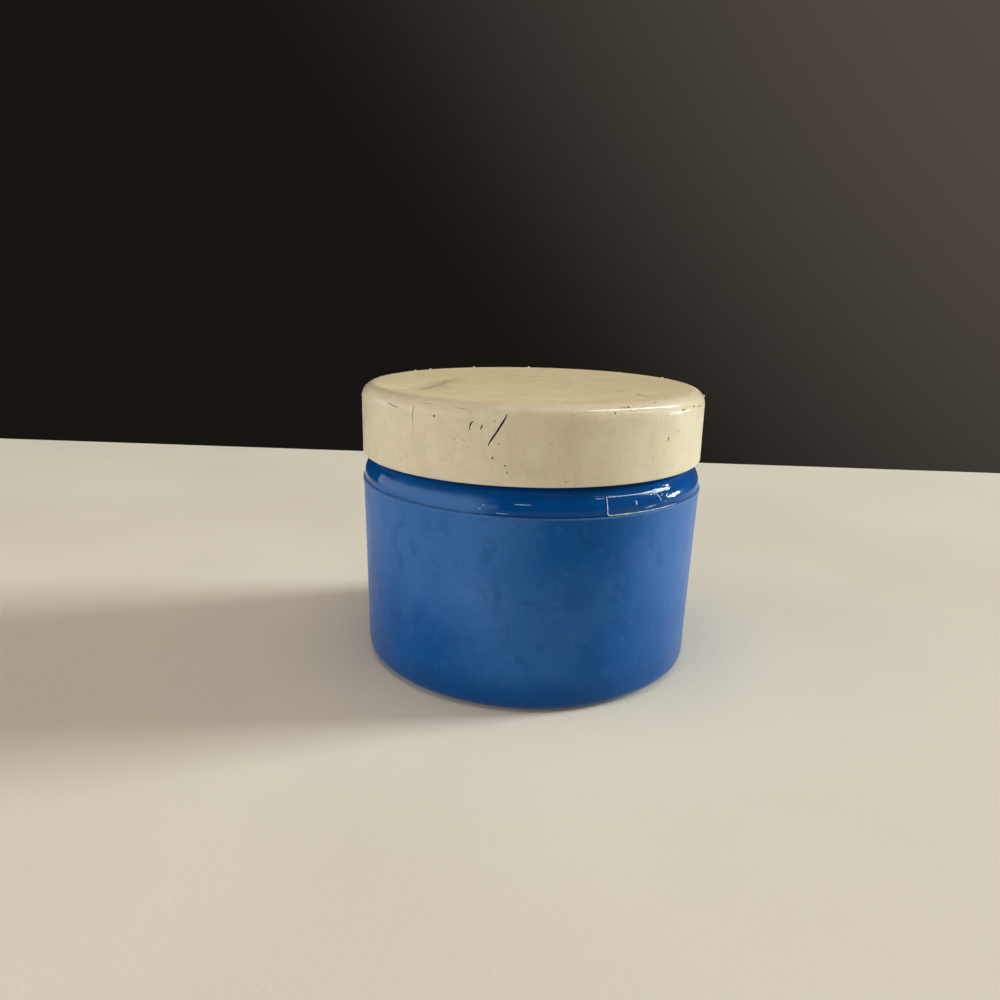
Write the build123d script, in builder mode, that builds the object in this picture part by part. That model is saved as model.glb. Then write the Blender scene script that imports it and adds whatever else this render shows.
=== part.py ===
from build123d import *
import os
from math import copysign, cos, radians, sin, sqrt

# Screw-top paint jar: a double-walled jar, its lid with a foam liner, a strip of clear tape, and the paint.
# Millimetres. The origin is the centre of the circle the jar stands on, +Z is up along the jar's axis,
# and -Y is the front. Every round piece is a half section (radius, height) turned about Z.

# Lid
LID_RADIUS = 30.0
LID_HEIGHT = 11.9
LID_DISH = 0.3
LID_MOUTH_Z = 36.95
LID_CORNER_RADIUS = 2.3
LID_WALL = 1.4
LID_TOP_THICKNESS = 1.55
LID_FOOT_ROUND = 0.3
LID_BORE_ROUND = 0.2
LID_CEILING_ROUND = 0.6

# Outer shell: the straight wall tapers towards the base and ends in a small proud lip at the top
SHELL_TOP_Z = 32.05
SHELL_TOP_RADIUS = 29.98
SHELL_BASE_RADIUS = 29.45
SHELL_LIP_RADIUS = 30.12
SHELL_LIP_HEIGHT = 0.9
SHELL_WALL = 1.45
SHELL_FLOOR = 1.6
HEEL_RADIUS = 2.1
FOOT_RECESS = 0.8
FOOT_RING_INNER_RADIUS = 22.5
FOOT_RING_SLOPE = 1.2
FOOT_ROUND = 0.4
LIP_BLEND_ROUND = 0.6
LIP_SIDE_ROUND = 0.3
LIP_ROUND = 0.18
SHELL_BORE_ROUND = 0.1
SHELL_FLOOR_ROUND = 2.0

# Inner cup: neck, shoulder, snap skirt and bowl
NECK_RADIUS = 27.05
NECK_TOP_Z = 46.2
NECK_WALL = 1.6
RIM_ROUND = 0.5
SHOULDER_RADIUS = 29.81
SHOULDER_STRAIGHT = 0.45
SHOULDER_ROUND = 4.2
SHOULDER_MID_ANGLE = 35.0
SKIRT_CLEARANCE = 0.05
SKIRT_WALL = 1.2
SKIRT_LENGTH = 4.0
SKIRT_LEAD_IN = 0.3
SNAP_HEIGHT = 0.22
SNAP_WIDTH = 0.8
SNAP_DROP = 2.4
CAVITY_RISE = 2.2
BOWL_FLOOR_Z = 8.0
BOWL_WALL = 1.3
BOWL_TOP_RADIUS = 25.0
BOWL_BOTTOM_RADIUS = 23.4
BOWL_ROUND = 8.0

# Screw thread: one turn, 8 turns to the inch, with a ridge on the neck and a ridge in the lid
THREAD_PITCH = 3.175
THREAD_TURNS = 1.0
THREAD_BITE = 0.3
NECK_THREAD_RADIUS = 28.15
NECK_THREAD_ROOT_WIDTH = 1.5
NECK_THREAD_CREST_WIDTH = 0.6
NECK_THREAD_START_Z = 41.6
LID_THREAD_RADIUS = 27.55
LID_THREAD_ROOT_WIDTH = 1.4
LID_THREAD_CREST_WIDTH = 0.5
LID_THREAD_DROP = 1.2

# Liner, paint and tape
LINER_THICKNESS = 1.0
LINER_RADIUS = 27.2
LINER_GAP = 0.05
PAINT_TOP_Z = 40.8
PAINT_GAP = 0.05
PAINT_CREEP = 0.5
PAINT_CREEP_WIDTH = 1.5
PAINT_CREEP_ROUND = 1.0
TAPE_THICKNESS = 0.1
TAPE_GAP = 0.02
TAPE_START_ANGLE = -67.2
TAPE_SWEEP = 29.0
TAPE_FOOT = 0.12
TAPE_RISE_ANGLE = 34.0

# Radii and heights that follow from them
LID_BORE_RADIUS = LID_RADIUS - LID_WALL
LID_FLAT_RADIUS = LID_RADIUS - LID_CORNER_RADIUS
LID_SHOULDER_Z = LID_MOUTH_Z + LID_HEIGHT
LID_CEILING_Z = LID_SHOULDER_Z - LID_TOP_THICKNESS
SHELL_BORE_RADIUS = SHELL_TOP_RADIUS - SHELL_WALL
SHELL_FLOOR_Z = FOOT_RECESS + SHELL_FLOOR
SNAP_Z = SHELL_TOP_Z - SNAP_DROP
NECK_BORE_RADIUS = NECK_RADIUS - NECK_WALL
SHOULDER_ARC_Z = SHELL_TOP_Z + SHOULDER_STRAIGHT
SHOULDER_ARC_RADIUS = SHOULDER_RADIUS - SHOULDER_ROUND
NECK_FOOT_Z = SHOULDER_ARC_Z + sqrt(SHOULDER_ROUND**2 - (NECK_RADIUS - SHOULDER_ARC_RADIUS) ** 2)
SKIRT_RADIUS = SHELL_BORE_RADIUS - SKIRT_CLEARANCE
SKIRT_INNER_RADIUS = SKIRT_RADIUS - SKIRT_WALL
SKIRT_FOOT_Z = SHELL_TOP_Z - SKIRT_LENGTH
CAVITY_TOP_Z = SHELL_TOP_Z + CAVITY_RISE
BOWL_OUTER_TOP_RADIUS = BOWL_TOP_RADIUS + BOWL_WALL
BOWL_OUTER_FLOOR_Z = BOWL_FLOOR_Z - BOWL_WALL


def shoulder_point(angle, offset=0.0):
    """A point on the shoulder's round, angle degrees above its widest circle, offset mm outside it."""
    reach = SHOULDER_ROUND + offset
    return (
        SHOULDER_ARC_RADIUS + reach * cos(radians(angle)),
        SHOULDER_ARC_Z + reach * sin(radians(angle)),
    )


def snap_points(radius):
    """The snap bead's section on a wall of this radius, from its foot to its top."""
    crest = radius + SNAP_HEIGHT
    return [
        (radius, SNAP_Z - SNAP_WIDTH),
        (crest, SNAP_Z - SNAP_WIDTH / 2),
        (crest, SNAP_Z + SNAP_WIDTH / 2),
        (radius, SNAP_Z + SNAP_WIDTH),
    ]


def ridge_points(depth, root_width, crest_width):
    """A thread ridge's section, measured from the wall it stands on; it bites a little into the wall."""
    bite = -copysign(THREAD_BITE, depth)
    return [
        (bite, -root_width / 2),
        (0, -root_width / 2),
        (depth, -crest_width / 2),
        (depth, crest_width / 2),
        (0, root_width / 2),
        (bite, root_width / 2),
    ]


def add_thread(wall_radius, crest_radius, root_width, crest_width, start_z):
    """Adds a thread ridge, from the +X side upwards, to the part that is being built."""
    with BuildLine() as helix:
        Helix(THREAD_PITCH, THREAD_PITCH * THREAD_TURNS, wall_radius, center=(0, 0, start_z))
    start = Plane(origin=helix.line @ 0, x_dir=(1, 0, 0), z_dir=helix.line % 0)
    with BuildSketch(start) as ridge:
        with BuildLine():
            Polyline(ridge_points(crest_radius - wall_radius, root_width, crest_width), close=True)
        make_face()
    sweep(sections=ridge.sketch, path=helix.line, is_frenet=True)


os.makedirs("parts", exist_ok=True)

# Outer shell: a cup with a rounded heel, a foot ring, and a groove near its mouth for the snap bead
with BuildPart() as outer_shell:
    with BuildSketch(Plane.XZ) as shell_section:
        with BuildLine():
            FilletPolyline(
                (0, FOOT_RECESS),
                (FOOT_RING_INNER_RADIUS - FOOT_RING_SLOPE, FOOT_RECESS),
                (FOOT_RING_INNER_RADIUS, 0),
                (SHELL_BASE_RADIUS, 0),
                (SHELL_TOP_RADIUS, SHELL_TOP_Z - SHELL_LIP_HEIGHT),
                (SHELL_LIP_RADIUS, SHELL_TOP_Z - SHELL_LIP_HEIGHT / 2),
                (SHELL_LIP_RADIUS, SHELL_TOP_Z),
                (SHELL_BORE_RADIUS, SHELL_TOP_Z),
                *reversed(snap_points(SHELL_BORE_RADIUS)),
                (SHELL_BASE_RADIUS - SHELL_WALL, SHELL_FLOOR_Z),
                (0, SHELL_FLOOR_Z),
                radius=[
                    0,
                    FOOT_ROUND,
                    FOOT_ROUND,
                    HEEL_RADIUS,
                    LIP_BLEND_ROUND,
                    LIP_SIDE_ROUND,
                    LIP_ROUND,
                    SHELL_BORE_ROUND,
                    0,
                    0,
                    0,
                    0,
                    SHELL_FLOOR_ROUND,
                    0,
                ],
                close=True,
            )
        make_face()
    revolve(axis=Axis.Z)
outer_shell.part.label = "outer_shell"
export_step(outer_shell.part, "parts/outer_shell.step")

# Inner cup: the section runs down and up the skirt, over the shoulder and neck, and down round the bowl
with BuildPart() as inner_cup:
    with BuildSketch(Plane.XZ) as cup_section:
        with BuildLine():
            skirt = Polyline(
                (BOWL_OUTER_TOP_RADIUS, CAVITY_TOP_Z),
                (SKIRT_INNER_RADIUS, CAVITY_TOP_Z),
                (SKIRT_INNER_RADIUS, SKIRT_FOOT_Z),
                (SKIRT_RADIUS - SKIRT_LEAD_IN, SKIRT_FOOT_Z),
                (SKIRT_RADIUS, SKIRT_FOOT_Z + 2 * SKIRT_LEAD_IN),
                *snap_points(SKIRT_RADIUS),
                (SKIRT_RADIUS, SHELL_TOP_Z),
                (SHOULDER_RADIUS, SHELL_TOP_Z),
                (SHOULDER_RADIUS, SHOULDER_ARC_Z),
            )
            shoulder = ThreePointArc(
                (SHOULDER_RADIUS, SHOULDER_ARC_Z),
                shoulder_point(SHOULDER_MID_ANGLE),
                (NECK_RADIUS, NECK_FOOT_Z),
            )
            rim = FilletPolyline(
                (NECK_RADIUS, NECK_FOOT_Z),
                (NECK_RADIUS, NECK_TOP_Z),
                (NECK_BORE_RADIUS, NECK_TOP_Z),
                (BOWL_TOP_RADIUS, SHELL_TOP_Z),
                (BOWL_BOTTOM_RADIUS, BOWL_FLOOR_Z),
                (0, BOWL_FLOOR_Z),
                radius=[RIM_ROUND, RIM_ROUND, 0, BOWL_ROUND],
            )
            bowl = FilletPolyline(
                (0, BOWL_FLOOR_Z),
                (0, BOWL_OUTER_FLOOR_Z),
                (BOWL_BOTTOM_RADIUS + BOWL_WALL, BOWL_OUTER_FLOOR_Z),
                (BOWL_OUTER_TOP_RADIUS, CAVITY_TOP_Z),
                radius=[0, BOWL_ROUND + BOWL_WALL],
            )
        make_face()
    revolve(axis=Axis.Z)
    add_thread(
        NECK_RADIUS,
        NECK_THREAD_RADIUS,
        NECK_THREAD_ROOT_WIDTH,
        NECK_THREAD_CREST_WIDTH,
        NECK_THREAD_START_Z,
    )
inner_cup.part.label = "inner_cup"
export_step(inner_cup.part, "parts/inner_cup.step")

# Paint: it fills the bowl to just below the neck's rim and creeps up a little where it meets the wall
bore_share = (PAINT_TOP_Z - SHELL_TOP_Z) / (NECK_TOP_Z - SHELL_TOP_Z)
bore_at_paint = BOWL_TOP_RADIUS + (NECK_BORE_RADIUS - BOWL_TOP_RADIUS) * bore_share
with BuildPart() as paint:
    with BuildSketch(Plane.XZ) as paint_section:
        with BuildLine():
            FilletPolyline(
                (0, PAINT_TOP_Z - PAINT_CREEP),
                (0, BOWL_FLOOR_Z + PAINT_GAP),
                (BOWL_BOTTOM_RADIUS - PAINT_GAP, BOWL_FLOOR_Z + PAINT_GAP),
                (BOWL_TOP_RADIUS - PAINT_GAP, SHELL_TOP_Z),
                (bore_at_paint - PAINT_GAP, PAINT_TOP_Z),
                (bore_at_paint - PAINT_CREEP_WIDTH, PAINT_TOP_Z - PAINT_CREEP),
                radius=[0, 0, BOWL_ROUND, 0, 0, PAINT_CREEP_ROUND],
                close=True,
            )
        make_face()
    revolve(axis=Axis.Z)
paint.part.label = "paint"
export_step(paint.part, "parts/paint.step")

# Tape strip: a thin curved patch on the shoulder's round, its foot just above the shell's lip
tape_inner = SHOULDER_RADIUS + TAPE_GAP
tape_outer = tape_inner + TAPE_THICKNESS
tape_foot_z = SHELL_TOP_Z + TAPE_FOOT
tape_lift = TAPE_GAP + TAPE_THICKNESS
with BuildPart() as tape_strip:
    with BuildSketch(Plane.XZ.rotated((0, 0, TAPE_START_ANGLE))) as tape_section:
        with BuildLine():
            Polyline(
                (tape_inner, SHOULDER_ARC_Z),
                (tape_inner, tape_foot_z),
                (tape_outer, tape_foot_z),
                (tape_outer, SHOULDER_ARC_Z),
            )
            ThreePointArc(
                (tape_outer, SHOULDER_ARC_Z),
                shoulder_point(TAPE_RISE_ANGLE / 2, tape_lift),
                shoulder_point(TAPE_RISE_ANGLE, tape_lift),
            )
            Line(
                shoulder_point(TAPE_RISE_ANGLE, tape_lift),
                shoulder_point(TAPE_RISE_ANGLE, TAPE_GAP),
            )
            ThreePointArc(
                shoulder_point(TAPE_RISE_ANGLE, TAPE_GAP),
                shoulder_point(TAPE_RISE_ANGLE / 2, TAPE_GAP),
                (tape_inner, SHOULDER_ARC_Z),
            )
        make_face()
    revolve(axis=Axis.Z, revolution_arc=TAPE_SWEEP)
tape_strip.part.label = "tape_strip"
export_step(tape_strip.part, "parts/tape_strip.step")

# Lid: a slightly dished top, a rounded corner and a straight skirt, with a thread ridge on its inner wall
with BuildPart() as lid:
    with BuildSketch(Plane.XZ) as lid_section:
        with BuildLine():
            # halfway out, a shallow dish still has three quarters of its depth
            dish = ThreePointArc(
                (0, LID_SHOULDER_Z - LID_DISH),
                (LID_FLAT_RADIUS / 2, LID_SHOULDER_Z - LID_DISH * 3 / 4),
                (LID_FLAT_RADIUS, LID_SHOULDER_Z),
            )
            corner = RadiusArc(
                (LID_FLAT_RADIUS, LID_SHOULDER_Z),
                (LID_RADIUS, LID_SHOULDER_Z - LID_CORNER_RADIUS),
                LID_CORNER_RADIUS,
            )
            FilletPolyline(
                (LID_RADIUS, LID_SHOULDER_Z - LID_CORNER_RADIUS),
                (LID_RADIUS, LID_MOUTH_Z),
                (LID_BORE_RADIUS, LID_MOUTH_Z),
                (LID_BORE_RADIUS, LID_CEILING_Z),
                (0, LID_CEILING_Z),
                (0, LID_SHOULDER_Z - LID_DISH),
                radius=[LID_FOOT_ROUND, LID_BORE_ROUND, LID_CEILING_ROUND, 0],
            )
        make_face()
    revolve(axis=Axis.Z)
    add_thread(
        LID_BORE_RADIUS,
        LID_THREAD_RADIUS,
        LID_THREAD_ROOT_WIDTH,
        LID_THREAD_CREST_WIDTH,
        NECK_THREAD_START_Z - LID_THREAD_DROP,
    )
lid.part.label = "lid"
export_step(lid.part, "parts/lid.step")

# Lid liner: a foam disc between the lid's ceiling and the neck's rim
with BuildPart() as lid_liner:
    with BuildSketch(Plane.XY.offset(NECK_TOP_Z + LINER_GAP)) as liner_disc:
        Circle(LINER_RADIUS)
    extrude(amount=LINER_THICKNESS)
lid_liner.part.label = "lid_liner"
export_step(lid_liner.part, "parts/lid_liner.step")
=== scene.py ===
import math
import random

import bmesh
import bpy
from mathutils import Matrix, Vector, noise


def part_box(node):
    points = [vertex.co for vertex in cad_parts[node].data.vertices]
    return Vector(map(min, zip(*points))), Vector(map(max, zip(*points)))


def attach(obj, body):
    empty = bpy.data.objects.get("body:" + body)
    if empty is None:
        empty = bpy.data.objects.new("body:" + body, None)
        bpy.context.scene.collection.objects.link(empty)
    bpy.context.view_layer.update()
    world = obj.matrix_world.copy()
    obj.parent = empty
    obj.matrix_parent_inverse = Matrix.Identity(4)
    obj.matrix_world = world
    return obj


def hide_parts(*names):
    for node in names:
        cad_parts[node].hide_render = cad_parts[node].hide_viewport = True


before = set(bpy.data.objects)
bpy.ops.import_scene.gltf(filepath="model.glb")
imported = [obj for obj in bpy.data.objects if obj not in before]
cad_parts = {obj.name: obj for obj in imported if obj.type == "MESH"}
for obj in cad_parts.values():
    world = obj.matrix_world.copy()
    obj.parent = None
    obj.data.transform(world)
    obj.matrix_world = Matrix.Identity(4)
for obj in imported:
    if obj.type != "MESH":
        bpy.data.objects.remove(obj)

# Paint jar. Lengths below are in millimetres and become metres when a mesh is made.
# Azimuths are degrees from the front, positive towards the right, as seen from above.
MM = 0.001
TURN = 2 * math.pi
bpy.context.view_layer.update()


def node_size(node):
    """Lowest z, highest z and largest radius of a CAD node, in mm."""
    low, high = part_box(node)
    return low.z / MM, high.z / MM, high.x / MM


# ---------------------------------------------------------------- sizes
_, SHELL_TOP, LIP_R = node_size("outer_shell")
_, RIM_Z, SHOULDER_R = node_size("inner_cup")
PAINT_LOW, PAINT_TOP, PAINT_R = node_size("paint")
LID_MOUTH, LID_PEAK, LID_R = node_size("lid")
LINER_LOW, LINER_TOP, LINER_R = node_size("lid_liner")

LID_DISH = 0.3
LID_CORNER = 2.3
LID_CORNER_Z = LID_PEAK - LID_CORNER
LID_FLAT = LID_R - LID_CORNER
LID_BORE = LID_R - 1.4
LID_CEILING = LINER_TOP + 0.5
LID_FOOT_ROUND = 0.3
LID_BORE_ROUND = 0.2
LID_SHIFT = Vector((-0.21, 0, -0.30))
LID_LEAN = Matrix.Rotation(math.radians(-0.40), 3, "Y") @ Matrix.Rotation(math.radians(0.15), 3, "X")
LID_SHRINK = 0.996
LID_PIVOT = Vector((0, 0, (LID_MOUTH + LID_PEAK) / 2))

SHELL_R_TOP = LIP_R - 0.14
SHELL_R_BASE = LIP_R - 0.67
SHELL_WALL = 1.45
SHELL_BORE = SHELL_R_TOP - SHELL_WALL
SHELL_FLOOR = 2.4
SHELL_FLOOR_ROUND = 1.8
LIP_ROUND = 0.16
HEEL = 2.1
FOOT_RECESS = 0.8
FOOT_INNER = 22.5

SHOULDER_ROUND = 4.2
SHOULDER_ARC_Z = SHELL_TOP + 0.45
SHOULDER_ARC_R = SHOULDER_R - SHOULDER_ROUND
CAVITY_TOP = SHELL_TOP + 2.2
SKIRT_FOOT = 28.1
SKIRT_WALL = 1.1
NECK_R = 27.05
NECK_BORE = 25.45
RIM_ROUND = 0.5
BOWL_TOP_R = 25.0
BOWL_BEND_R, BOWL_BEND_Z = 23.9, 16.5
BOWL_ROUND = 8.2
BOWL_ROUND_CENTRE = (15.6, 16.2)
BOWL_FLOOR = PAINT_LOW - 0.05
BOWL_WALL = 1.3
PAINT_GAP = 0.1

PITCH = 3.175
NECK_THREAD_Z = 41.6
NECK_THREAD_R = 28.15
LID_THREAD_Z = NECK_THREAD_Z - 1.2
LID_THREAD_R = 27.55

AROUND = 320
AROUND_INSIDE = 192
WOBBLE_R = 30.0  # the radius that the lid's and the shell's wobbles are given for


# ---------------------------------------------------------------- mesh helpers
def polar(radius, azimuth, z):
    """A point in mm at an azimuth in degrees."""
    a = math.radians(azimuth)
    return Vector((radius * math.sin(a), -radius * math.cos(a), z))


def azimuth_of(p):
    return math.degrees(math.atan2(p.x, -p.y))


def smooth(low, high, x):
    """0 below low, 1 above high and an S curve between them."""
    t = min(1.0, max(0.0, (x - low) / (high - low)))
    return t * t * (3 - 2 * t)


def bump(x, width):
    """A bell of height 1 and half width about width."""
    return math.exp(-((x / width) ** 2))


def arc(centre, radius, start, end, steps):
    """Points on an arc in the half section, from start to end degrees above the horizontal."""
    points = []
    for i in range(steps + 1):
        a = math.radians(start + (end - start) * i / steps)
        points.append((centre[0] + radius * math.cos(a), centre[1] + radius * math.sin(a)))
    return points


def run(start, end, steps):
    """Points on a straight run, without its first one."""
    return [
        (start[0] + (end[0] - start[0]) * i / steps, start[1] + (end[1] - start[1]) * i / steps)
        for i in range(1, steps + 1)
    ]


def add_mesh(name, verts, faces, material, sculpt=None):
    """A smooth-shaded object from points in mm; sculpt moves each point before the mesh is made."""
    if sculpt:
        verts = [sculpt(Vector(v)) for v in verts]
    mesh = bpy.data.meshes.new(name)
    mesh.from_pydata([Vector(v) * MM for v in verts], [], faces)
    mesh.update()
    for polygon in mesh.polygons:
        polygon.use_smooth = True
    piece = bpy.data.objects.new(name, mesh)
    bpy.context.scene.collection.objects.link(piece)
    if material:
        mesh.materials.append(material)
    bm = bmesh.new()
    bm.from_mesh(mesh)
    bmesh.ops.remove_doubles(bm, verts=bm.verts, dist=1e-7)
    bmesh.ops.recalc_face_normals(bm, faces=bm.faces)
    bm.to_mesh(mesh)
    bm.free()
    return piece


def lathe(name, profile, material, sculpt=None, around=AROUND):
    """Turns a closed half section about Z. A point on the axis becomes one pole."""
    verts, rings = [], []
    for r, z in profile:
        if r < 1e-6:
            rings.append([len(verts)])
            verts.append((0, 0, z))
        else:
            rings.append(list(range(len(verts), len(verts) + around)))
            for i in range(around):
                verts.append(polar(r, 360 * i / around, z))
    faces = []
    for k, a in enumerate(rings):
        b = rings[(k + 1) % len(rings)]
        if len(a) == 1 and len(b) == 1:
            continue
        for i in range(around):
            j = (i + 1) % around
            if len(a) == 1:
                faces.append((a[0], b[i], b[j]))
            elif len(b) == 1:
                faces.append((a[i], a[j], b[0]))
            else:
                faces.append((a[i], a[j], b[j], b[i]))
    return add_mesh(name, verts, faces, material, sculpt)


def tube_faces(faces, rings, sides):
    """Joins rings of points into a tube and caps both ends."""
    for i in range(rings - 1):
        for k in range(sides):
            m = (k + 1) % sides
            faces.append((i * sides + k, i * sides + m, (i + 1) * sides + m, (i + 1) * sides + k))
    faces.append(tuple(range(sides)))
    faces.append(tuple((rings - 1) * sides + k for k in reversed(range(sides))))


def strip_faces(faces, base, steps):
    """Joins pairs of points, the first of them number base, into a strip."""
    for k in range(base, base + 2 * steps, 2):
        faces.append((k, k + 1, k + 3, k + 2))


def thread_ridge(name, root_r, crest_r, start_z, root_width, crest_width, material, sculpt=None):
    """One turn of screw thread with both ends run out, its root sunk a little into the wall."""
    steps, fade, sink = 240, 22.0, 0.25
    sunk = root_r - math.copysign(sink, crest_r - root_r)
    verts, faces = [], []
    for i in range(steps + 1):
        turn = 360 * i / steps
        share = smooth(0, fade, turn) * smooth(0, fade, 360 - turn)
        z = start_z + PITCH * turn / 360
        crest = root_r + (crest_r - root_r) * share
        near = root_r + (crest_r - root_r) * share * 0.75
        half_root = root_width / 2 * (0.55 + 0.45 * share)
        half_crest = crest_width / 2 * (0.3 + 0.7 * share)
        half_near = half_root * 0.35 + half_crest * 0.65
        half = [(sunk, half_root), (root_r, half_root), (near, half_near), (crest, half_crest * 0.6)]
        for r, h in [(r, -h) for r, h in half] + half[::-1]:
            # the thread starts on the +X side and climbs anticlockwise
            verts.append(polar(r, 90 + turn, z + h))
    tube_faces(faces, steps + 1, 8)
    return add_mesh(name, verts, faces, material, sculpt)


# ---------------------------------------------------------------- material helpers
class Nodes:
    """A material's node tree with short calls for the nodes used here."""

    def __init__(self, name):
        self.material = bpy.data.materials.new(name)
        self.material.use_nodes = True
        self.tree = self.material.node_tree
        self.shader = self.tree.nodes["Principled BSDF"]

    def add(self, kind, inputs=None, **settings):
        node = self.tree.nodes.new(kind)
        for key, value in settings.items():
            setattr(node, key, value)
        for key, value in (inputs or {}).items():
            self.put(node.inputs[key], value)
        return node

    def put(self, socket, value):
        if isinstance(value, bpy.types.NodeSocket):
            self.tree.links.new(value, socket)
        else:
            socket.default_value = value

    def place(self, scale=(1, 1, 1)):
        """Position on the piece in mm, stretched by scale."""
        coords = self.add("ShaderNodeTexCoord").outputs["Object"]
        size = tuple(s / MM for s in scale)
        return self.add("ShaderNodeMapping", {"Vector": coords, "Scale": size}).outputs["Vector"]

    def cloud(self, where, size, detail=4, rough=0.5, warp=0.0):
        """Noise from 0 to 1 with features about size mm across."""
        inputs = {"Vector": where, "Scale": 1 / size, "Detail": detail, "Roughness": rough}
        return self.add("ShaderNodeTexNoise", inputs | {"Distortion": warp}).outputs["Fac"]

    def patches(self, where, size, low, high, first, second, detail=4, rough=0.5, warp=0.0):
        """Two colours in patches about size mm across."""
        return self.mix(self.ramp(self.cloud(where, size, detail, rough, warp), low, high), first, second)

    def ramp(self, value, low, high, start=0.0, end=1.0, kind="SMOOTHSTEP"):
        inputs = {"Value": value, "From Min": low, "From Max": high, "To Min": start, "To Max": end}
        return self.add("ShaderNodeMapRange", inputs, interpolation_type=kind).outputs["Result"]

    def math(self, operation, a, b=0.0, c=0.0, clamp=False):
        node = self.add("ShaderNodeMath", operation=operation, use_clamp=clamp)
        self.put(node.inputs[0], a)
        self.put(node.inputs[1], b)
        self.put(node.inputs[2], c)
        return node.outputs[0]

    def mix(self, factor, a, b, blend="MIX"):
        node = self.add("ShaderNodeMix", data_type="RGBA", blend_type=blend)
        self.put(node.inputs["Factor"], factor)
        self.put(node.inputs[6], a)
        self.put(node.inputs[7], b)
        return node.outputs[2]

    def height(self, value, distance, after=None):
        """A bump of value, distance mm high, on top of an earlier bump."""
        inputs = {"Height": value, "Distance": distance * MM, "Strength": 1.0}
        if after is not None:
            inputs["Normal"] = after
        return self.add("ShaderNodeBump", inputs).outputs["Normal"]

    def split(self, where):
        return self.add("ShaderNodeSeparateXYZ", {"Vector": where}).outputs

    def radius(self, where):
        x, y, _ = self.split(where)
        return self.math("SQRT", self.math("ADD", self.math("MULTIPLY", x, x), self.math("MULTIPLY", y, y)))

    def product(self, *factors):
        result = factors[0]
        for factor in factors[1:]:
            result = self.math("MULTIPLY", result, factor)
        return result

    def finish(self, colour, roughness, normal=None, **plain):
        self.put(self.shader.inputs["Base Color"], colour)
        self.put(self.shader.inputs["Roughness"], roughness)
        if normal is not None:
            self.put(self.shader.inputs["Normal"], normal)
        for key, value in plain.items():
            self.shader.inputs[key.replace("_", " ")].default_value = value
        return self.material


def rgba(r, g, b):
    return (r, g, b, 1.0)


# ---------------------------------------------------------------- materials
def cream_material():
    """Aged cream lid: greyer skirt, tanner top with painted shade lighter at the front and darker at the
    back, clouds of grime, specks and painted shade darkening the crease.
    """
    n = Nodes("lid_cream")
    at = n.place()
    x, y, z = n.split(at)
    top = n.product(n.ramp(z, LID_PEAK - 1.6, LID_PEAK - 0.9), n.ramp(n.radius(at), 26.8, 28.6, 1, 0))
    # painted shade: the top's tan is lighter at the front and darker towards the back
    tan = n.mix(n.ramp(y, -26.0, 12.0), rgba(0.88, 0.72, 0.45), rgba(0.80, 0.65, 0.405))
    colour = n.mix(top, rgba(0.75, 0.64, 0.455), tan)

    # the top leans with the lid, so the crease's depth is measured from a leaning plane
    depth = n.math("SUBTRACT", n.math("MULTIPLY_ADD", x, 0.0070, LID_PEAK + LID_SHIFT.z), z)
    # painted shade: the crease's sunken valley is coloured dark brown
    crease = n.product(n.ramp(depth, 0.42, 0.72), n.ramp(x, -12.0, -8.0, 1.0, 0.0), top, 0.60)
    colour = n.mix(crease, colour, rgba(0.42, 0.31, 0.17))

    side = n.math("SUBTRACT", 1.0, n.math("MULTIPLY", top, 0.7))
    for size, detail, rough, warp, low, high, share, grime in (
        (9.0, 5, 0.55, 0.6, 0.42, 0.72, 0.38, rgba(0.57, 0.49, 0.34)),
        (1.3, 6, 0.70, 0.3, 0.48, 0.72, 0.26, rgba(0.50, 0.44, 0.33)),
        (0.42, 3, 0.70, 0.0, 0.50, 0.70, 0.24, rgba(0.48, 0.41, 0.30)),
    ):
        cover = n.ramp(n.cloud(at, size, detail, rough, warp), low, high, 0, share)
        colour = n.mix(n.math("MULTIPLY", cover, side), colour, grime)
    pale = n.cloud(n.place((1, 1, 0.6)), 4.5, 5, 0.6)
    colour = n.mix(n.ramp(pale, 0.52, 0.74, 0, 0.34), colour, rgba(0.84, 0.77, 0.62))
    speck = n.ramp(n.cloud(at, 0.33, 3, 0.6), 0.69, 0.74)
    where = n.ramp(n.cloud(at, 6, 3, 0.5), 0.45, 0.62)
    colour = n.mix(n.product(speck, where, 0.55), colour, rgba(0.10, 0.075, 0.05))

    # the rounded rim is worn smoother than the rest
    rim = n.product(n.ramp(n.radius(at), 27.8, 29.0), n.ramp(z, LID_PEAK - 2.6, LID_PEAK - 1.6))
    rough = n.ramp(n.cloud(at, 2.5, 5, 0.6), 0.3, 0.7, 0.30, 0.44)
    rough = n.product(rough, n.ramp(rim, 0.0, 1.0, 1.0, 0.45, "LINEAR"))
    peel = n.height(n.cloud(at, 0.9, 3, 0.5), 0.015)
    waves = n.height(n.cloud(at, 6.0, 2, 0.5), 0.08, after=peel)
    return n.finish(colour, rough, waves, Specular_IOR_Level=0.22)


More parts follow.
